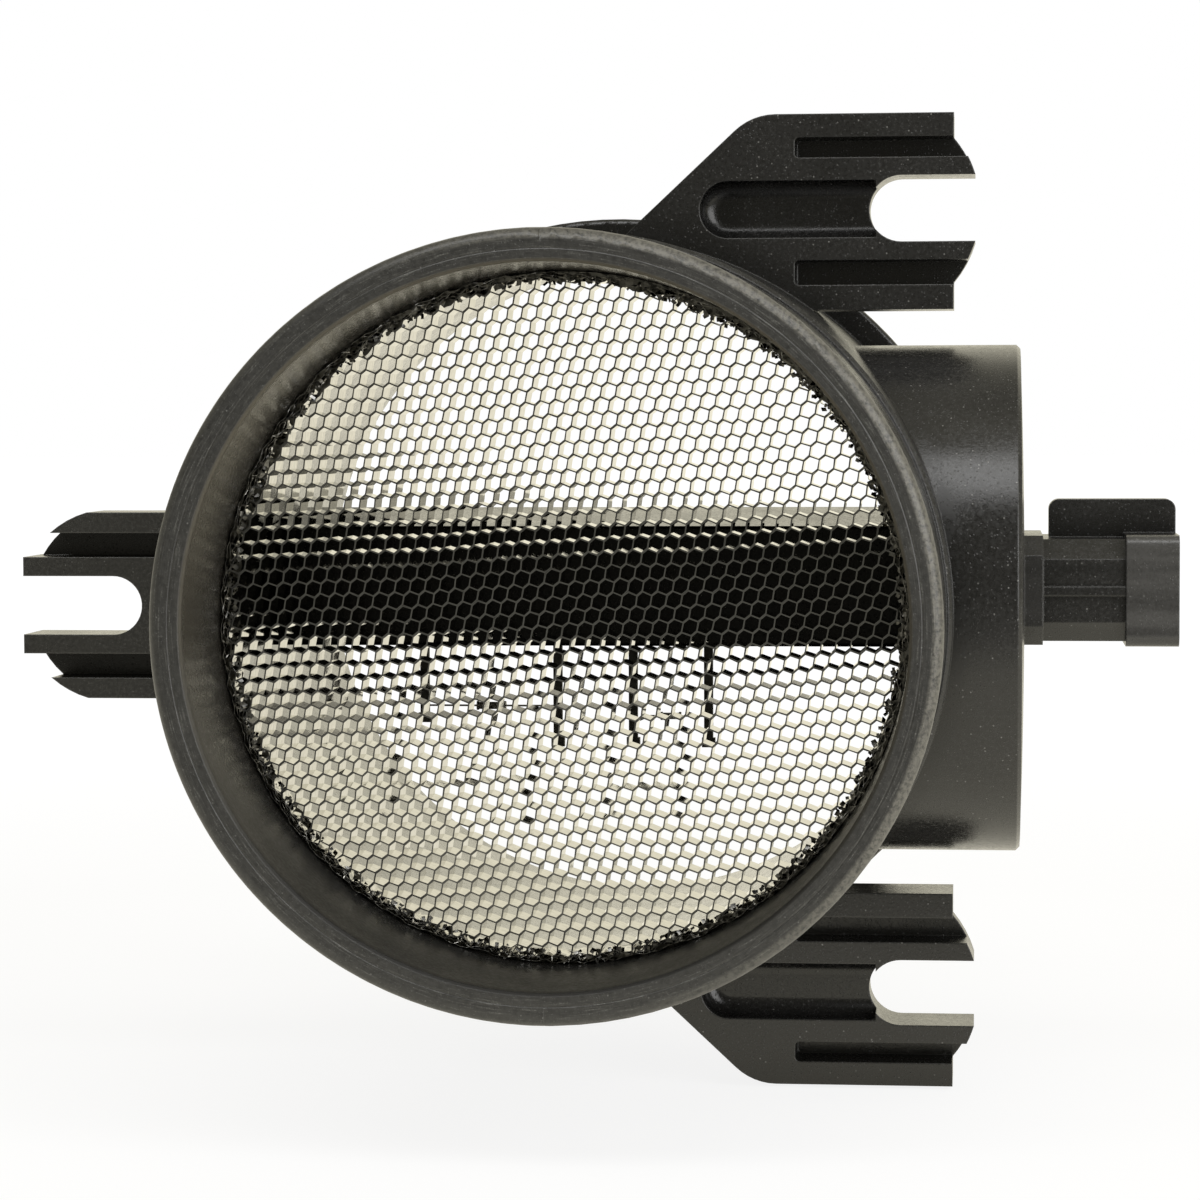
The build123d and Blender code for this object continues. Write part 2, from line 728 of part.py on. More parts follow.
def connector_shroud():
    """Foot, chamfered and ribbed neck, end collar and key fin, all solid."""
    neck_face = Pos(connector_y, connector_z) * Rectangle(neck_width, neck_height)
    neck_face = chamfer(neck_face.vertices(), neck_chamfer)
    neck = along_x(neck_face, chamber_end_x, mouth_x)
    foot_face = Pos(connector_y, connector_z) * Rectangle(
        neck_width + 2 * foot_rim, neck_height + 2 * foot_rim)
    foot = along_x(chamfer(foot_face.vertices(), neck_chamfer), cover_inner_x, foot_end_x)
    end_face = centred_box(neck_width + 2 * end_rim, neck_height + 2 * end_rim, end_radius)
    end = along_x(end_face, neck_end_x, mouth_x)
    key_low_z = connector_z + neck_height / 2 - socket_wall
    key_top_z = connector_z + neck_height / 2 + end_rim + key_height
    key_face = rectangle((foot_end_x + key_setback, key_low_z), (mouth_x, key_top_z))
    upper = key_face.vertices().sort_by(Axis.Y)[-2:]
    half_key = key_thickness / 2
    key = along_y(fillet(upper, key_radius), connector_y - half_key, connector_y + half_key)
    half_rib = neck_rib_height / 2
    rib_reach = neck_width / 2 + neck_rib_depth
    rib = block(
        (foot_end_x, connector_y - rib_reach, connector_z - half_rib),
        (neck_end_x, connector_y + rib_reach, connector_z + half_rib))
    return neck + foot + end + key + rib


def cover():
    """Chamber cover and connector shroud, one moulding."""
    body = cover_plate() + connector_shroud()
    room_width = neck_width - 2 * socket_wall
    room_height = neck_height - 2 * socket_wall
    room = Pos(connector_y, connector_z) * Rectangle(room_width, room_height)
    room = chamfer(room.vertices(), neck_chamfer - socket_wall / 2)
    body -= along_x(room, foot_end_x + socket_floor, mouth_x)
    for index in range(terminal_count):
        half_y = terminal_width / 2 + terminal_gap
        half_z = terminal_thickness / 2 + terminal_gap
        y = terminal_y(index)
        body -= block(
            (cover_inner_x, y - half_y, connector_z - half_z),
            (foot_end_x + socket_floor, y + half_y, connector_z + half_z))
    return body


def cover_seal():
    """Ring seal in the spigot's groove, against the chamber's wall."""
    place = Pos(cover_inner_x - seal_offset, chamber_y, chamber_z) * Rot(0, 90, 0)
    return place * Torus(cavity_radius - seal_radius, seal_radius)


def terminal(index):
    """Flat blade with a pointed tip."""
    y = terminal_y(index)
    half = terminal_width / 2
    face = polygon([
        (terminal_tail_x, y - half),
        (terminal_tip_x - terminal_point, y - half),
        (terminal_tip_x, y - half + terminal_point),
        (terminal_tip_x, y + half - terminal_point),
        (terminal_tip_x - terminal_point, y + half),
        (terminal_tail_x, y + half),
    ])
    return Pos(0, 0, connector_z - terminal_thickness / 2) * extrude(face, terminal_thickness)


# ---------------------------------------------------------------- all pieces
save("housing", housing())
save("flow_straightener", flow_straightener())
save("sensor_bar", sensor_bar())
save("bar_back_cover", bar_back_cover())
save("bar_gasket", bar_gasket())
for lead_index in range(len(post_x)):
    save(f"sensor_lead_{lead_index + 1}", sensor_lead(lead_index))
heated_x = (post_x[2] + post_x[3]) / 2
save("heated_element", bobbin(heated_x, heated_z, heated_length, heated_radius))
save("heated_element_wires", element_wires(2, heated_z, heated_wire_z, heated_length))
air_x = (post_x[0] + post_x[1]) / 2
save("air_temp_element", bobbin(air_x, air_z, air_length, air_radius))
save("air_temp_element_wires", element_wires(0, air_z, air_z, air_length))
save("heat_spreader", heat_spreader())
save("circuit_board", circuit_board())
save("control_chip", on_board(control_chip_at, control_chip_size, chip_height))
save("amplifier_chip", on_board(amplifier_chip_at, amplifier_chip_size, chip_height))
save("chip_capacitors", chip_group(capacitor_at, capacitor_size))
save("chip_resistors", chip_group(resistor_at, resistor_size))
save("lead_bond_wires", lead_bond_wires())
save("terminal_bond_wires", terminal_bond_wires())
save("module_screw_1", module_screw(-1))
save("module_screw_2", module_screw(1))
save("cover", cover())
save("cover_seal", cover_seal())
for terminal_index in range(terminal_count):
    save(f"terminal_{terminal_index + 1}", terminal(terminal_index))
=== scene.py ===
"""Looks of the mass airflow sensor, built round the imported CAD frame."""
import bpy
import json
import random
from math import cos, exp, hypot, pi, radians, sin
from mathutils import Matrix, Vector


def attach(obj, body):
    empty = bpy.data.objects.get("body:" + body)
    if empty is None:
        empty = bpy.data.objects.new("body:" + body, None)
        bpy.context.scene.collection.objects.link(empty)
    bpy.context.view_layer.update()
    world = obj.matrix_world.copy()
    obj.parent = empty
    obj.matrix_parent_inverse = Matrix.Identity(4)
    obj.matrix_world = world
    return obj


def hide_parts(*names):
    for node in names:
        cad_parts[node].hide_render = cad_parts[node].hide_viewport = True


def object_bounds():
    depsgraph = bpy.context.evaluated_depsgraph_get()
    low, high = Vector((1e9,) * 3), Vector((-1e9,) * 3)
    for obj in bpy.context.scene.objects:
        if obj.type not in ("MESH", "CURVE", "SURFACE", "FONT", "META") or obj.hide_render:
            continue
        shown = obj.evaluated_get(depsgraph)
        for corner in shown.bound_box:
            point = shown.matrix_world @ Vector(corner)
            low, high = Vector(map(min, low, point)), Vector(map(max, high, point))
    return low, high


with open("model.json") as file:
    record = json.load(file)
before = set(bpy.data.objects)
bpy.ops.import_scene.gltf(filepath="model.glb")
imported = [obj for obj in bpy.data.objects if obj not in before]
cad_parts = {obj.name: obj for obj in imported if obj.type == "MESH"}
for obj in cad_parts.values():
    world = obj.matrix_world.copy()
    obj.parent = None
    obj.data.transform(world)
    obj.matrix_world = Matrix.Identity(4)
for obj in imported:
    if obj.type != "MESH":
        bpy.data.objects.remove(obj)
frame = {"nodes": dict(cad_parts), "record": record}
cad_low, cad_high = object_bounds()
MM = 0.001

# Every length below is in millimetres unless it says otherwise, from the duct's axis at the collar's
# stop shoulder: +Y along the air's way, +X towards the electronics chamber, +Z up.

# ---------------------------------------------------------------- places on the housing and cover
RIM_Y = -26.0                   # the collar's front face
FACE_INNER = 44.3               # flat part of that face
FACE_OUTER = 46.4
GROOVE_RADIUS = 45.0            # fine groove round it
MARK_WIDTH = 0.16               # half the width of the groove and of the parting line
INLET_RADIUS = 43.4             # inside of the collar
BORE_RADIUS = 47.2              # inside of the tube
TUBE_RADIUS = 50.0              # just outside the tube
LEFT_TAB_X = -49.0              # the left tab lies beyond it
FOOT_START = 54.6               # the connector's foot on the cover
FOOT_END = 60.0
END_COLLAR_X = 70.9             # where the connector's end collar begins, and its top
END_COLLAR_TOP = 9.0

# ---------------------------------------------------------------- sizes of the foil
FOIL_RADIUS = 43.1
FOIL_FRONT = -4.95
FOIL_BACK = -0.05
CELLS_SEED = 41
CELL_WIDTH = 1.88               # across the upright walls
CELL_ROW = 1.73                 # from row to row
CELL_PEAK_X = 0.68              # run and rise of the glued wall at a cell's top left
CELL_PEAK_Z = 0.51
CELL_TILT = radians(3.0)        # the rows rise towards +X
CELL_OVERHANG = 0.2 * CELL_WIDTH  # a cell's middle may lie this far outside, before the crushing
KEYS_PER_MM = 50                # corners of neighbouring cells are matched to 1/50 mm
GLUED_WALL = 0.28               # two foils glued together
SINGLE_WALL = 0.185             # a single foil with its burr
CRUSH = 1.5                     # mean width of the ring in which the cells are crushed
CRUSH_SWING = 0.35              # share by which it is wider on the left and narrower on the right
WALL_DENT = 0.05                # how far the walls' front corners are pushed in, and how much
CRUSHED_DENT = 0.8              # further at the edge
STRIP_STEPS = 720
STRIP_THICKNESS = 0.07
STRIPS = (("inner", 5, 42.00, 0.30, 83),  # name, seed, middle radius, swing and number of waves
          ("middle", 9, 42.42, 0.28, 71),
          ("outer", 13, 42.80, 0.20, 61))
BACKING_SEED = 77
BACKING_STEPS = 540
BACKING_RADIUS = 42.0           # inner edge of the flattened foil behind the crushed cells
BACKING_DEPTHS = (-0.9, -0.8)
SCRAPS_SEED = 59
SCRAPS = 900
SCRAP_RADII = (41.5, 42.7)
SCRAP_SHIFT = 0.4               # they lie this much further in on the left
SCRAP_DEPTHS = (0.45, 1.5)      # behind the foil's front
SCRAP_TILT = (34, 15)           # mean and spread in degrees, away from facing the front
SCRAP_TURN = (90, 50)           # mean and spread in degrees, round the duct's axis from +X
SCRAP_HALF_LENGTHS = (0.14, 0.34)
SCRAP_HALF_WIDTHS = (0.18, 0.38)
SCRAP_HALF_THICKNESS = 0.025

# ---------------------------------------------------------------- colours, linear red, green and blue
WHITE = (1, 1, 1)
# dust, painted only where open, so it also stands in for light: recesses stay dark as painted shade
DUST_AND_LIT_GREY = (0.031, 0.0304, 0.0292)
GLASS_FIBRE = (0.12, 0.118, 0.112)
SPECK = (0.26, 0.256, 0.243)
# paler colour painted on the rounded edges
PALE_EDGE = (0.085, 0.084, 0.078)
TAB_DUST = (0.056, 0.055, 0.050)
RIM_DUST = (0.046, 0.0452, 0.042)
RIM_PIT = (0.15, 0.148, 0.14)
RIM_STREAK = (0.165, 0.163, 0.150)
RIM_DARK = (0.028, 0.0275, 0.026)
# painted highlight on the rim's rounding, towards the upper right
RIM_HIGHLIGHT = (0.150, 0.143, 0.122)
# painted shade on the lower inlet wall
INLET_PAINTED_SHADE = (0.006, 0.0058, 0.0052)
# brownish film on the inlet wall, painted paler towards the top as painted light
INLET_FILM_AND_LIGHT = (0.115, 0.103, 0.078)
# paler colour painted in bands on the connector's end collar
PALE_COLLAR = (0.085, 0.083, 0.079)
FOOT_GREY = (0.034, 0.0333, 0.032)
# painted shade in bands on the connector's neck
NECK_PAINTED_SHADE = (0.006, 0.006, 0.0058)
BRIGHT_FOIL = (0.56, 0.545, 0.50)
DULL_FOIL = (0.34, 0.33, 0.295)
# dirt and painted shade of the crushed foil cells next to the rim
FOIL_EDGE_DIRT_AND_SHADE = (0.05, 0.049, 0.045)
CUT_FOIL = (0.23, 0.232, 0.230)
WARM_SKY = (1.0, 0.95, 0.76)
WARM_FLOOR = (1.0, 0.95, 0.78)


# ---------------------------------------------------------------- node helpers
class Graph:
    """A node tree under construction. Each value is a number or the socket that it comes from."""

    def __init__(self, tree):
        self.tree = tree

    def node(self, kind, values=None, **settings):
        """A new node with its settings, and with its sockets, by name or number, set or linked."""
        made = self.tree.nodes.new(kind)
        for key, value in settings.items():
            setattr(made, key, value)
        for key, value in (values or {}).items():
            if isinstance(value, bpy.types.NodeSocket):
                self.tree.links.new(value, made.inputs[key])
            else:
                made.inputs[key].default_value = value
        return made

    def math(self, operation, *values):
        """The result of one Math node."""
        return self.node("ShaderNodeMath", dict(enumerate(values)), operation=operation).outputs[0]

    def product(self, first, *others):
        """All the values multiplied."""
        for other in others:
            first = self.math("MULTIPLY", first, other)
        return first

    def total(self, first, *others):
        """All the values added."""
        for other in others:
            first = self.math("ADD", first, other)
        return first

    def distance(self, a, b):
        """Length of the vector with these two components."""
        return self.math("SQRT", self.total(self.product(a, a), self.product(b, b)))

    def ramp(self, value, low, high, start=0.0, end=1.0):
        """Linear step from start to end as value goes from low to high."""
        values = {"Value": value, "From Min": low, "From Max": high, "To Min": start, "To Max": end}
        return self.node("ShaderNodeMapRange", values).outputs["Result"]

    def mix(self, share, first, second):
        """Colour mix; colours are given as three numbers or as a socket."""
        colours = [colour if isinstance(colour, bpy.types.NodeSocket) else (*colour, 1)
                   for colour in (first, second)]
        values = {0: share, 6: colours[0], 7: colours[1]}
        return self.node("ShaderNodeMix", values, data_type="RGBA").outputs[2]


class Look(Graph):
    """A material under construction round one Principled shader; its lengths are in millimetres."""

    def __init__(self, name, colour, roughness, metallic=0.0, ior=1.5):
        self.material = bpy.data.materials.new(name)
        self.material.use_nodes = True
        super().__init__(self.material.node_tree)
        self.shader = self.tree.nodes["Principled BSDF"]
        for socket, value in (("Base Color", (*colour, 1)), ("Roughness", roughness),
                              ("Metallic", metallic), ("IOR", ior)):
            self.shader.inputs[socket].default_value = value
        self.place = self.node("ShaderNodeTexCoord").outputs["Object"]
        self.base, self.roughness, self.normal = colour, roughness, None

    def xyz(self):
        """The place on the object along each axis, in metres."""
        return self.node("ShaderNodeSeparateXYZ", {0: self.place}).outputs

    def fade(self, length, low, high, start=0.0, end=1.0):
        """Linear step from start to end as a length goes from low to high."""
        return self.ramp(length, low * MM, high * MM, start, end)

    def noise(self, size, detail=2.0, roughness=0.5, place=None):
        """Noise between 0 and 1 with features of about this size."""
        values = {"Vector": place or self.place, "Scale": 1 / (size * MM), "Detail": detail,
                  "Roughness": roughness}
        return self.node("ShaderNodeTexNoise", values).outputs["Fac"]

    def stretched(self, x, y, z):
        """The place on the object scaled along each axis."""
        values = {0: self.place, 1: (x, y, z)}
        return self.node("ShaderNodeVectorMath", values, operation="MULTIPLY").outputs[0]

    def specks(self, size, share, radius):
        """Mask of round dots in a share of the cells of this size; the radius is for a size of 1."""
        values = {"Vector": self.place, "Scale": 1 / (size * MM)}
        cells = self.node("ShaderNodeTexVoronoi", values).outputs
        near = self.ramp(cells["Distance"], radius, radius * 0.5)
        tone = self.node("ShaderNodeSeparateColor", {0: cells["Color"]}).outputs[0]
        return self.product(near, self.math("LESS_THAN", tone, share))

    def exposure(self, reach):
        """1 on open surfaces and 0 in recesses that are narrower than about this reach."""
        open_sky = self.node("ShaderNodeAmbientOcclusion", {"Distance": reach * MM}, samples=8)
        return self.ramp(open_sky.outputs["AO"], 0.60, 0.95)

    def round_edges(self, radius):
        """Rounds the normal at the edges by this radius, and returns a mask of those edges."""
        bevel = self.node("ShaderNodeBevel", {"Radius": radius * MM}, samples=6).outputs[0]
        flat = self.node("ShaderNodeNewGeometry").outputs["Normal"]
        dot = self.node("ShaderNodeVectorMath", {0: bevel, 1: flat}, operation="DOT_PRODUCT")
        self.normal = bevel
        return self.ramp(dot.outputs["Value"], 0.985, 0.80)

    def bump(self, height, depth):
        """Adds relief to the normal: a height of 1 stands for this depth."""
        values = {"Height": height, "Distance": depth * MM, "Strength": 1.0}
        if self.normal is not None:
            values["Normal"] = self.normal
        self.normal = self.node("ShaderNodeBump", values).outputs[0]

    def paint(self, share, colour):
        """Lays a share of this colour over the base colour."""
        self.base = self.mix(share, self.base, colour)

    def finish(self):
        """Links the base colour, roughness and normal to the shader and returns the material."""
        for name, source in (("Base Color", self.base), ("Roughness", self.roughness),
                             ("Normal", self.normal)):
            self.tree.links.new(source, self.shader.inputs[name])
        return self.material


# ---------------------------------------------------------------- plastics
def black_plastic(name, colour, roughness, dust_and_lit_grey=DUST_AND_LIT_GREY, speck_share=0.5, ior=1.55):
    """Glass-filled black plastic: pale fibre specks, cloudy gloss, soft edges, dusty and painted
    paler where open, with painted shade left in recesses.
    """
    look = Look(name, colour, roughness, ior=ior)
    cloud = look.noise(9, 3)
    look.grain = look.noise(0.22, 2)
    look.mottled = look.noise(0.5, 3, 0.6)
    # open-surface mask, used for dust and for painted shade in recesses
    look.open = look.exposure(6)
    specks = look.specks(0.95, speck_share, 0.14)
    fibres = look.specks(0.42, 0.5, 0.26)
    edge = look.round_edges(0.28)
    # dust and painted light: open surfaces are painted paler, recesses stay dark as painted shade
    look.paint(look.product(look.open, look.ramp(cloud, 0.25, 0.75, 0.6, 1.0),
                            look.ramp(look.mottled, 0.36, 0.64, 0.45, 1.0)), dust_and_lit_grey)
    # fibres and specks are painted fainter in recesses, as painted shade
    look.paint(look.product(fibres, look.ramp(look.open, 0, 1, 0.04, 0.25)), GLASS_FIBRE)
    look.paint(look.product(specks, look.ramp(look.open, 0, 1, 0.15, 0.75)), SPECK)
    # the rounded edges are painted paler
    look.paint(look.product(edge, 0.45), PALE_EDGE)
    look.roughness = look.total(look.ramp(cloud, 0.3, 0.7, roughness - 0.03, roughness + 0.05),
                                look.ramp(look.mottled, 0.35, 0.65, -0.06, 0.06))
    look.bump(fibres, 0.022)
    look.bump(look.grain, 0.014)
    look.bump(look.mottled, 0.012)
    look.bump(look.noise(3.5, 2), 0.008)
    return look


def dusty_left_tab(look, x):
    """More dust on the left tab, patchy and only where it is open, so its recesses keep their painted
    shade.
    """
    tab = look.fade(x, LEFT_TAB_X, LEFT_TAB_X - 1, 0.0, 0.8)
    look.paint(look.product(tab, look.open, look.ramp(look.mottled, 0.34, 0.66, 0.5, 1.0)), TAB_DUST)


def turned_rim(look, x, z, radius, rim):
    """Patchy dust, pits and streaks on the rim; returns the streaks' relief, 0 off the rim's face."""
    look.paint(look.product(rim, look.ramp(look.noise(0.7, 4), 0.32, 0.68, 0.25, 1.0)), RIM_DUST)
    look.paint(look.product(rim, look.ramp(look.grain, 0.62, 0.75, 0.0, 0.5)), RIM_PIT)
    # noise of 0.2 mm across the streaks, and stretched about twentyfold along them
    angle = look.math("ARCTAN2", look.product(x, -1.0), look.product(z, -1.0))
    unrolled = look.node("ShaderNodeCombineXYZ", {0: radius, 1: look.product(angle, 2.2 * MM)})
    turned = look.noise(0.20, 2, place=unrolled.outputs[0])
    face = look.product(rim, look.fade(radius, FACE_OUTER + 0.8, FACE_OUTER),
                        look.fade(radius, FACE_INNER - 0.4, FACE_INNER))
    look.paint(look.product(face, look.ramp(turned, 0.56, 0.72),
                            look.ramp(look.grain, 0.40, 0.60, 0.15, 0.65)), RIM_STREAK)
    look.paint(look.product(face, look.ramp(turned, 0.45, 0.30, 0.0, 0.6)), RIM_DARK)
    return look.product(turned, face)


def painted_rim_highlight(look, x, z, radius, rim):
    """The rounding outside the rim's face, with a painted highlight towards the upper right."""
    upper_right = look.total(look.product(x, 0.94), look.product(z, 0.34))
    # painted highlight on the rounding, strongest towards the upper right
    look.paint(look.product(look.fade(upper_right, -8, 26),
                            look.fade(radius, FACE_OUTER - 0.4, FACE_OUTER),
                            rim, look.ramp(look.mottled, 0.3, 0.6)), RIM_HIGHLIGHT)


def filmed_inlet_with_painted_light(look, y, z, radius):
    """A brownish film on the inlet's wall, painted paler towards the top, with painted shade at the
    bottom; returns a mask of the shaded part.
    """
    inlet = look.product(look.fade(radius, INLET_RADIUS + 0.5, INLET_RADIUS + 0.2),
                         look.fade(y, -5, -20, 0.25, 1.0), look.fade(y, -1, -2))
    low = look.product(inlet, look.fade(z, -5, -32, 0.0, 0.95))
    # painted shade, darker towards the bottom of the inlet wall
    look.paint(low, INLET_PAINTED_SHADE)
    film = look.ramp(look.noise(0.8, 3, place=look.stretched(0.05, 0.5, 0.05)), 0.3, 0.7, 0.85, 1.0)
    # film, painted paler towards the top as painted light
    look.paint(look.product(inlet, look.fade(z, -32, 22, 0.04, 1.0), film), INLET_FILM_AND_LIGHT)
    return low


def rim_marks(look, x, radius, rim):
    """Relief of the parting line at x 0 outside the groove, less the groove in the rim's face."""
    off_groove = look.math("ABSOLUTE", look.math("SUBTRACT", radius, GROOVE_RADIUS * MM))
    groove = look.product(look.fade(off_groove, MARK_WIDTH, 0.05), rim)
    seam = look.product(look.fade(look.math("ABSOLUTE", x), MARK_WIDTH, 0.05),
                        look.fade(radius, GROOVE_RADIUS, GROOVE_RADIUS + 1.5))
    return look.math("SUBTRACT", seam, groove)


def housing_plastic():
    """The housing's plastic: a dusty turned rim with a painted highlight, a filmed inlet wall with
    painted shade at its bottom, a glossier bore.
    """
    look = black_plastic("housing_plastic", (0.0062, 0.0060, 0.0057), 0.22)
    x, y, z = look.xyz()
    radius = look.distance(x, z)
    rim = look.fade(y, RIM_Y + 2.2, RIM_Y + 0.6)
    bore = look.product(look.fade(radius, BORE_RADIUS + 0.2, BORE_RADIUS), look.fade(y, 0.5, 2.0))
    tube = look.product(look.fade(radius, BORE_RADIUS + 0.1, BORE_RADIUS + 0.3),
                        look.fade(radius, TUBE_RADIUS + 1, TUBE_RADIUS))
    dusty_left_tab(look, x)
    streaks = turned_rim(look, x, z, radius, rim)
    painted_rim_highlight(look, x, z, radius, rim)
    # low is the mask of the painted shade at the inlet's bottom
    low = filmed_inlet_with_painted_light(look, y, z, radius)
    look.roughness = look.total(look.roughness, look.product(bore, -0.07), look.product(rim, 0.14),
                                look.product(low, 0.22), look.product(tube, 0.06))
    look.bump(streaks, 0.03)
    look.bump(rim_marks(look, x, radius, rim), 0.06)
    return look.finish()


def cover_plastic():
    """The cover's plastic, paler on the connector's foot and on its end collar, with painted shade in
    bands on the neck beyond the foot.
    """
    look = black_plastic("cover_plastic", (0.004, 0.0039, 0.0038), 0.26)
    x, _, z = look.xyz()
    bands = look.noise(2.6, 2, place=look.stretched(0.08, 0.3, 1))
    collar = look.product(look.fade(x, END_COLLAR_X - 0.1, END_COLLAR_X + 0.1, 0, 0.8),
                          look.math("LESS_THAN", z, END_COLLAR_TOP * MM))
    # the end collar is painted paler in horizontal bands
    look.paint(look.product(collar, look.ramp(bands, 0.35, 0.65, 0.45, 1.0)), PALE_COLLAR)
    look.paint(look.product(look.fade(x, FOOT_START, FOOT_START + 0.2),
                            look.fade(x, FOOT_END + 0.1, FOOT_END),
                            look.ramp(bands, 0.3, 0.7, 0.4, 1.0)), FOOT_GREY)
    # painted shade in horizontal bands on the neck beyond the foot
    look.paint(look.product(look.fade(x, FOOT_END, FOOT_END + 1),
                            look.ramp(bands, 0.55, 0.35, 0, 0.6),
                            look.math("SUBTRACT", 1.0, collar)), NECK_PAINTED_SHADE)
    return look.finish()


# ---------------------------------------------------------------- metals and small parts
def metal(name, colour, roughness, streak=(1, 1, 1)):
    """Worn bright metal: cloudy tarnish and fine streaks along the axis with the smallest scale."""
    look = Look(name, colour, roughness, metallic=1.0)
    streaks = look.noise(0.25, 2, place=look.stretched(*streak))
    tarnish = look.ramp(look.noise(2.2, 3), 0.45, 0.75, 0.0, 0.25)
    look.paint(tarnish, [c * 0.45 for c in colour])
    look.roughness = look.total(look.ramp(streaks, 0.2, 0.8, roughness - 0.06, roughness + 0.10),
                                look.product(tarnish, 0.4))
    look.bump(streaks, 0.008)
    return look.finish()


def plain_body(name, colour, roughness, size=0.5, depth=0.01, spread=0.2):
    """Moulded, fired or glazed body with slight mottling and grain."""
    look = Look(name, colour, roughness)
    grain = look.noise(size, 4)
    look.base = look.mix(grain, [c * (1 - spread) for c in colour],
                         [min(1, c * (1 + spread)) for c in colour])
    look.roughness = look.ramp(look.noise(size * 5, 2), 0.3, 0.7, roughness - 0.06, roughness + 0.06)
    look.bump(grain, depth)
    return look.finish()


def foil():
    """Thin aluminium foil, crinkled, with grey cut edges and patchy dark next to the rim, dirt and
    painted shade of the crushed cells.
    """
    look = Look("straightener_foil", (0.62, 0.60, 0.56), 0.30, metallic=1.0)
    x, _, z = look.xyz()
    radius = look.distance(x, z)
    facing = look.node("ShaderNodeTexCoord").outputs["Normal"]
    along = look.node("ShaderNodeSeparateXYZ", {0: facing}).outputs["Y"]
    cut = look.ramp(look.math("ABSOLUTE", along), 0.6, 0.8)
    crinkle = look.noise(0.8, 3)
    look.base = look.mix(look.ramp(crinkle, 0.3, 0.8), BRIGHT_FOIL, DULL_FOIL)
    # dirt and painted shade in the crushed cells next to the rim
    look.paint(look.product(look.fade(radius, FOIL_RADIUS - 1.6, FOIL_RADIUS - 1.0),
                            look.ramp(look.noise(0.8, 2), 0.50, 0.58, 0.0, 0.85)), FOIL_EDGE_DIRT_AND_SHADE)
    uncrushed = look.fade(radius, FOIL_RADIUS - 1.7, FOIL_RADIUS - 0.9, 0.92, 0.25)
    look.paint(look.product(cut, uncrushed), CUT_FOIL)
    look.roughness = look.total(look.ramp(look.noise(1.7, 2), 0.3, 0.7, 0.03, 0.08),
                                look.product(cut, 0.25))
    look.bump(crinkle, 0.004)
    return look.finish()


# ---------------------------------------------------------------- pieces of foil
def mesh_piece(name, vertices, faces):
    """Mesh object in the scene, from its vertices in metres and its faces."""
    mesh = bpy.data.meshes.new(name)
    mesh.from_pydata(vertices, [], faces)
    mesh.validate()
    made = bpy.data.objects.new(name, mesh)
    bpy.context.scene.collection.objects.link(made)
    return made


def cell_corners(inset):
    """Corners of one skewed six-sided cell round its centre, walls pulled in if inset."""
    glued = Vector((CELL_PEAK_X, CELL_PEAK_Z))
    single = Vector((CELL_WIDTH - CELL_PEAK_X, -CELL_PEAK_Z))
    upright = Vector((CELL_WIDTH / 2, CELL_ROW)) - glued
    walls = ((upright, SINGLE_WALL), (-single, SINGLE_WALL), (-glued, GLUED_WALL),
             (-upright, SINGLE_WALL), (single, SINGLE_WALL), (glued, GLUED_WALL))
    corner = (single + glued - upright) / 2
    corners = []
    for k, (wall, thickness) in enumerate(walls):
        before, thickness_before = walls[k - 1]
        first, second = before.normalized(), wall.normalized()
        pull = (thickness_before * second - thickness * first) / 2 / first.cross(second)
        corners.append(tuple(corner + pull) if inset else tuple(corner))
        corner = corner + wall
    return corners


def crushed(x, z, jolt):
    """A lattice point after turning the rows, waving them slightly and crushing them at the rim."""
    x, z = (x * cos(CELL_TILT) - z * sin(CELL_TILT), x * sin(CELL_TILT) + z * cos(CELL_TILT))
    x += 0.10 * sin(z / 5.3 + 0.4) + 0.06 * sin(x / 3.1 + z / 7.7)
    z += 0.12 * sin(x / 6.1 + 1.1) + 0.06 * sin(x / 2.7 - z / 4.9)
    r = hypot(x, z)
    crush = CRUSH * (1 - CRUSH_SWING * x / max(r, 1))
    start = FOIL_RADIUS - crush
    pressed = start + crush * (1 - exp(-(r - start) / crush)) if r > start else r
    # corners are jolted a little everywhere, more at the rim, and most of all at its bottom
    rim_jolt = 0.12 + 0.26 * max(0, -z / max(r, 1))
    jolted = 0.03 + rim_jolt * min(1, max(0, (r - start + 0.2) / 1.1))
    return x * pressed / r + jolt[0] * jolted, z * pressed / r + jolt[1] * jolted


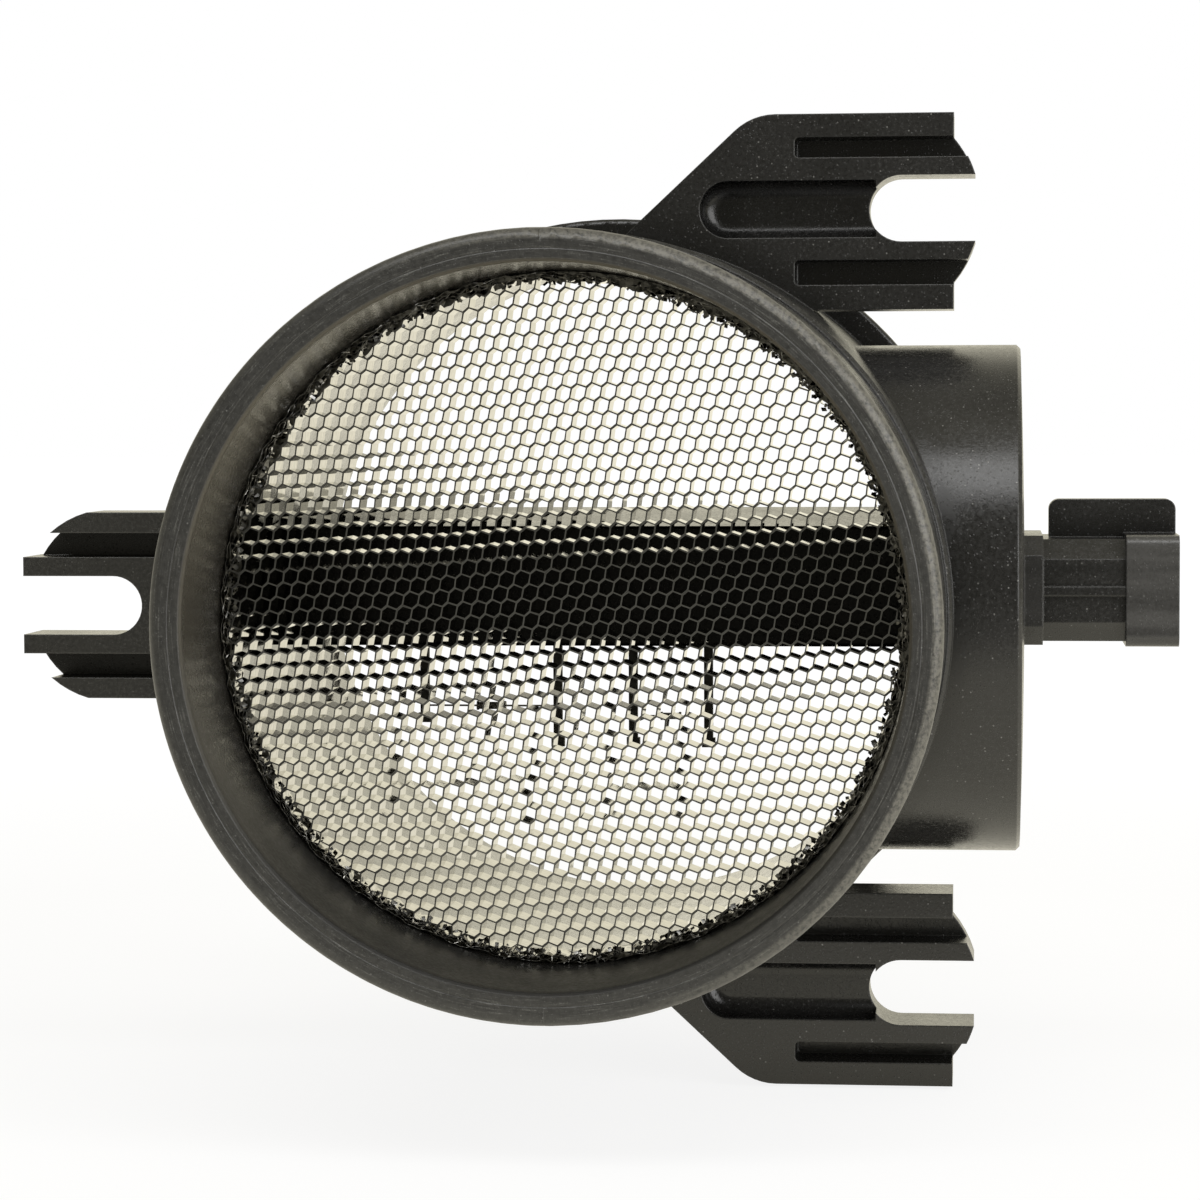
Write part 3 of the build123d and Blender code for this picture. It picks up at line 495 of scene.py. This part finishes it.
def honeycomb():
    """Foil disc of open cells: front and back edges of every wall, and the walls between them."""
    rng = random.Random(CELLS_SEED)
    half_rows = int(FOIL_RADIUS / CELL_ROW) + 2
    half_columns = int(FOIL_RADIUS / CELL_WIDTH) + 2
    outer, inner = cell_corners(False), cell_corners(True)
    vertices, faces, shared, jolts, dents, walls = [], [], {}, {}, {}, []

    def add(x, z, key):
        """Adds a front and a back vertex, moved as all those of this lattice corner are."""
        if key not in jolts:
            jolts[key] = (rng.uniform(-1, 1), rng.uniform(-1, 1))
            dents[key] = rng.uniform(0, 1)
        x, z = crushed(x, z, jolts[key])
        rim = max(0, hypot(x, z) - FOIL_RADIUS + CRUSH) / CRUSH
        front = FOIL_FRONT + WALL_DENT * dents[key] + CRUSHED_DENT * rim * dents[key]
        vertices.append((x * MM, front * MM, z * MM))
        vertices.append((x * MM, FOIL_BACK * MM, z * MM))
        return len(vertices) - 2

    for row in range(-half_rows, half_rows + 1):
        for column in range(-half_columns, half_columns + 1):
            cx, cz = (column + (row % 2) / 2) * CELL_WIDTH, row * CELL_ROW
            if hypot(cx, cz) > FOIL_RADIUS + CELL_OVERHANG:
                continue
            ring_out, ring_in = [], []
            for (ox, oz), (ix, iz) in zip(outer, inner):
                key = (round((cx + ox) * KEYS_PER_MM), round((cz + oz) * KEYS_PER_MM))
                if key not in shared:
                    shared[key] = add(cx + ox, cz + oz, key)
                ring_out.append(shared[key])
                ring_in.append(add(cx + ix, cz + iz, key))
            for k in range(6):
                a, b = ring_out[k], ring_out[k - 1]
                c, d = ring_in[k - 1], ring_in[k]
                faces += [(a, b, c, d), (a + 1, d + 1, c + 1, b + 1), (d, c, c + 1, d + 1)]
                walls.append((a, b))
    # a wall with no cell on its other side is closed outside
    both_ways = set(walls)
    for a, b in walls:
        if (b, a) not in both_ways:
            faces.append((b, a, a + 1, b + 1))
    return mesh_piece("straightener_foil_cells", vertices, faces)


def ring_piece(name, sections):
    """Closed band round the duct axis; each section has two radii and two places along Y."""
    vertices, faces = [], []
    for step, (radii, depths) in enumerate(sections):
        angle = 2 * pi * step / len(sections)
        for radius in radii:
            for y in depths:
                vertices.append((radius * cos(angle) * MM, y * MM, radius * sin(angle) * MM))
        a, b = 4 * step, 4 * ((step + 1) % len(sections))
        faces += [(a, a + 1, b + 1, b), (a + 2, b + 2, b + 3, a + 3),
                  (a, b, b + 2, a + 2), (a + 1, a + 3, b + 3, b + 1)]
    return mesh_piece(name, vertices, faces)


def foil_strip(name, seed, middle, swing, waves):
    """One crinkled foil strip that runs round the disc between the crushed cells and the seat."""
    rng = random.Random(seed)
    phases = [rng.uniform(0, 2 * pi) for _ in range(4)]
    sections = []
    for step in range(STRIP_STEPS):
        angle = 2 * pi * step / STRIP_STEPS
        wave = sin(waves * angle + 2.2 * sin(9 * angle + phases[0]) + phases[1])
        wave = 0.7 * wave + 0.3 * sin(2.3 * waves * angle + phases[2]) + rng.uniform(-0.2, 0.2)
        r = min(middle + swing * wave, FOIL_RADIUS - STRIP_THICKNESS)
        front = FOIL_FRONT + 0.25 + 0.25 * sin(37 * angle + phases[3]) + rng.uniform(-0.1, 0.1)
        sections.append(((r, r + STRIP_THICKNESS), (max(front, FOIL_FRONT), FOIL_BACK)))
    return ring_piece(name, sections)


def foil_backing():
    """Flattened foil behind the crushed cells: a thin ring with a torn inner edge."""
    rng = random.Random(BACKING_SEED)
    sections, torn = [], 0.0
    for step in range(BACKING_STEPS):
        angle = 2 * pi * step / BACKING_STEPS
        torn = 0.6 * torn + rng.uniform(-0.16, 0.16)
        wider = 0.45 * max(0, cos(angle - 2.6))  # on the upper left
        inner = BACKING_RADIUS - wider + 0.14 * sin(31 * angle) + torn + 0.10 * sin(47 * angle + 1)
        sections.append(((inner, FOIL_RADIUS), BACKING_DEPTHS))
    return ring_piece("straightener_edge_backing", sections)


def foil_scraps():
    """Torn bits of foil that stand up between the crushed cells, each a thin plate."""
    rng = random.Random(SCRAPS_SEED)
    vertices, faces = [], []
    for _ in range(SCRAPS):
        angle = rng.uniform(0, 2 * pi)
        r = rng.uniform(*SCRAP_RADII) + SCRAP_SHIFT * min(0, cos(angle))
        y = FOIL_FRONT + rng.uniform(*SCRAP_DEPTHS)
        centre = Vector((r * cos(angle), y, r * sin(angle)))
        tilt, turn = radians(rng.gauss(*SCRAP_TILT)), radians(rng.gauss(*SCRAP_TURN))
        normal = Vector((sin(tilt) * cos(turn), -cos(tilt), sin(tilt) * sin(turn)))
        across = normal.cross(Vector((rng.uniform(-1, 1), 0.3, rng.uniform(-1, 1)))).normalized()
        along = normal.cross(across) * rng.uniform(*SCRAP_HALF_LENGTHS)
        across = across * rng.uniform(*SCRAP_HALF_WIDTHS)
        first = len(vertices)
        for lift in (-SCRAP_HALF_THICKNESS, SCRAP_HALF_THICKNESS):
            for u, v in ((-1, -1), (1, -1), (1, 1), (-1, 1)):
                corner = centre + u * across + v * along + lift * normal
                vertices.append(tuple(corner * MM))
        a, b, c, d = range(first, first + 4)
        faces += [(a, d, c, b), (a + 4, b + 4, c + 4, d + 4), (a, b, b + 4, a + 4),
                  (b, c, c + 4, b + 4), (c, d, d + 4, c + 4), (d, a, a + 4, d + 4)]
    return mesh_piece("straightener_edge_scraps", vertices, faces)


# ---------------------------------------------------------------- materials on the CAD nodes
slot_materials = {
    "housing_plastic": housing_plastic(),
    "bar_plastic": black_plastic("bar_plastic", (0.003, 0.003, 0.003), 0.20,
                                 dust_and_lit_grey=(0.006, 0.006, 0.0057), speck_share=0.1, ior=1.36).finish(),
    "cover_plastic": cover_plastic(),
    "straightener_foil": foil(),
    "gasket_rubber": plain_body("gasket_rubber", (0.02, 0.02, 0.02), 0.75),
    "seal_rubber": plain_body("seal_rubber", (0.03, 0.03, 0.032), 0.6),
    "tinned_lead": metal("tinned_lead", (0.11, 0.108, 0.10), 0.42, streak=(0.15, 1, 1)),
    "tinned_terminal": metal("tinned_terminal", (0.70, 0.67, 0.60), 0.28, streak=(0.15, 1, 1)),
    "element_glaze": plain_body("element_glaze", (0.62, 0.60, 0.55), 0.18, size=0.2),
    "element_wire": metal("element_wire", (0.62, 0.61, 0.58), 0.25, streak=(0.2, 1, 1)),
    "spreader_plate": metal("spreader_plate", (0.72, 0.72, 0.72), 0.32, streak=(1, 0.05, 1)),
    "board_ceramic": plain_body("board_ceramic", (0.74, 0.74, 0.70), 0.5,
                                size=0.3, depth=0.006, spread=0.05),
    "chip_package": plain_body("chip_package", (0.022, 0.022, 0.023), 0.55, size=0.15),
    "capacitor_body": plain_body("capacitor_body", (0.42, 0.30, 0.17), 0.4,
                                 size=0.2, depth=0.005, spread=0.1),
    "resistor_body": plain_body("resistor_body", (0.03, 0.03, 0.035), 0.2, size=0.3),
    "bond_wire": metal("bond_wire", (0.85, 0.85, 0.85), 0.2),
    "screw_steel": metal("screw_steel", (0.55, 0.55, 0.54), 0.3, streak=(0.2, 1, 1)),
}
node_slots = {entry["node"]: entry["material_slot"] for entry in frame["record"]["subparts"]}
for node_name, cad_object in frame["nodes"].items():
    cad_object.data.materials.clear()
    cad_object.data.materials.append(slot_materials[node_slots[node_name]])


def dress(piece, slot, *nodes):
    """Gives a scene piece its record slot's material, hides the CAD nodes that it stands in for and
    attaches it to the root body.
    """
    piece.data.materials.append(slot_materials[slot])
    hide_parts(*nodes)
    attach(piece, "root")


dress(honeycomb(), "straightener_foil", "flow_straightener")
for strip, *settings in STRIPS:
    edge_strip = foil_strip(f"straightener_edge_{strip}", *settings)
    dress(edge_strip, "straightener_foil", "flow_straightener")
dress(foil_backing(), "straightener_foil", "flow_straightener")
dress(foil_scraps(), "straightener_foil", "flow_straightener")

# ---------------------------------------------------------------- stage, in metres
SKY_LEVELS = ((0.0, 0.15), (0.23, 0.16), (0.35, 0.45), (0.43, 0.60), (0.50, 0.48), (0.65, 0.30),
              (0.80, 0.45), (0.90, 1.0))  # brightness from the photographer's side, 0, to behind, 1
FLOOR_GAP = 0.0005              # below the part, so that they don't touch
FLOOR_REACH = 6.0
FLOOR_GLOW = 1.05
FLOOR_DIM = (-0.20, -0.08)      # along Y, the light that it throws grows between these places
FLOOR_DIM_LEVEL = 0.22          # from this share of its glow
FLOOR_SHADED = (0.25, 0.7)      # between these distances its own shading, with the shadow, fades
FLOOR_GLOW_SHARE = 0.82         # from what is left next to this share of glow


def studio_world():
    """White where the camera sees it; elsewhere a warm light, weakest on the photographer's side."""
    world = bpy.data.worlds.new("studio")
    world.use_nodes = True
    world.node_tree.nodes.clear()
    graph = Graph(world.node_tree)
    direction = graph.node("ShaderNodeTexCoord").outputs["Generated"]
    y = graph.node("ShaderNodeSeparateXYZ", {0: direction}).outputs["Y"]
    sky = graph.node("ShaderNodeValToRGB", {"Fac": graph.ramp(y, -1, 1)})
    stops = sky.color_ramp.elements
    while len(stops) < len(SKY_LEVELS):
        stops.new(0.5)
    for stop, (position, grey) in zip(stops, SKY_LEVELS):
        stop.position = position
        stop.color = (grey, grey, grey, 1)
    camera_ray = graph.node("ShaderNodeLightPath").outputs["Is Camera Ray"]
    strength = graph.math("MAXIMUM", sky.outputs["Color"], camera_ray)
    colour = graph.mix(camera_ray, WARM_SKY, WHITE)
    background = graph.node("ShaderNodeBackground", {"Color": colour, "Strength": strength})
    graph.node("ShaderNodeOutputWorld", {0: background.outputs[0]})
    bpy.context.scene.world = world


def floor(height):
    """Wide pale floor that glows white where seen, keeps a faint shadow and is dim in front."""
    corners = [(FLOOR_REACH * x, FLOOR_REACH * y, height)
               for x, y in ((-1, -1), (1, -1), (1, 1), (-1, 1))]
    made = mesh_piece("floor", corners, [(0, 1, 2, 3)])
    look = Look("floor", (0.92, 0.92, 0.92), 0.9)
    x, y, _ = look.xyz()
    path = look.node("ShaderNodeLightPath").outputs
    camera_ray = path["Is Camera Ray"]
    lit = look.math("MAXIMUM", camera_ray, look.ramp(y, *FLOOR_DIM, FLOOR_DIM_LEVEL))
    glow = look.node("ShaderNodeEmission", {"Color": look.mix(camera_ray, WARM_FLOOR, WHITE),
                                            "Strength": look.product(lit, FLOOR_GLOW)})
    seen = look.math("MAXIMUM", camera_ray, path["Is Glossy Ray"])
    seen = look.math("MAXIMUM", seen, path["Is Transmission Ray"])
    share = look.product(seen, look.ramp(look.distance(x, y), *FLOOR_SHADED, FLOOR_GLOW_SHARE))
    surface = look.node("ShaderNodeMixShader",
                        {0: share, 1: look.shader.outputs[0], 2: glow.outputs[0]})
    look.tree.links.new(surface.outputs[0], look.tree.nodes["Material Output"].inputs["Surface"])
    made.data.materials.append(look.material)


def softbox(name, place, target, width, height, radiance):
    """Rectangular soft lamp; radiance is the brightness that a mirror would show."""
    data = bpy.data.lights.new(name, "AREA")
    data.shape = "RECTANGLE"
    data.size, data.size_y = width, height
    data.energy = radiance * pi * width * height
    made = bpy.data.objects.new(name, data)
    bpy.context.scene.collection.objects.link(made)
    made.location = place
    aim = Vector(target) - Vector(place)
    made.rotation_euler = aim.to_track_quat("-Z", "Y").to_euler()


studio_world()
floor(cad_low.z - FLOOR_GAP)
softbox("key", place=(0.05, -0.62, 1.08), target=(0, 0.03, 0), width=1.5, height=0.46, radiance=3.6)
softbox("side", place=(0.74, -0.58, 0.26), target=(0, 0, 0), width=0.75, height=0.75, radiance=3.2)

# ---------------------------------------------------------------- camera, in metres
CAMERA_PLACE = (0.0516, -0.4517, 0.0264)
CAMERA_TURN = 5.9757            # degrees to the left of +Y
CAMERA_DIP = 3.0622             # degrees below the horizon
CAMERA_ROLL = -0.207

camera = bpy.data.objects.new("camera", bpy.data.cameras.new("camera"))
bpy.context.scene.collection.objects.link(camera)
camera.data.sensor_width = 36.0
camera.data.lens = 108.96
camera.data.clip_start = 0.01
camera.data.clip_end = 20.0
camera.matrix_world = (
    Matrix.Translation(CAMERA_PLACE)
    @ Matrix.Rotation(radians(CAMERA_TURN), 4, "Z")
    @ Matrix.Rotation(radians(90 - CAMERA_DIP), 4, "X")
    @ Matrix.Rotation(radians(CAMERA_ROLL), 4, "Z"))
bpy.context.scene.camera = camera
bpy.context.scene.view_settings.view_transform = "Standard"
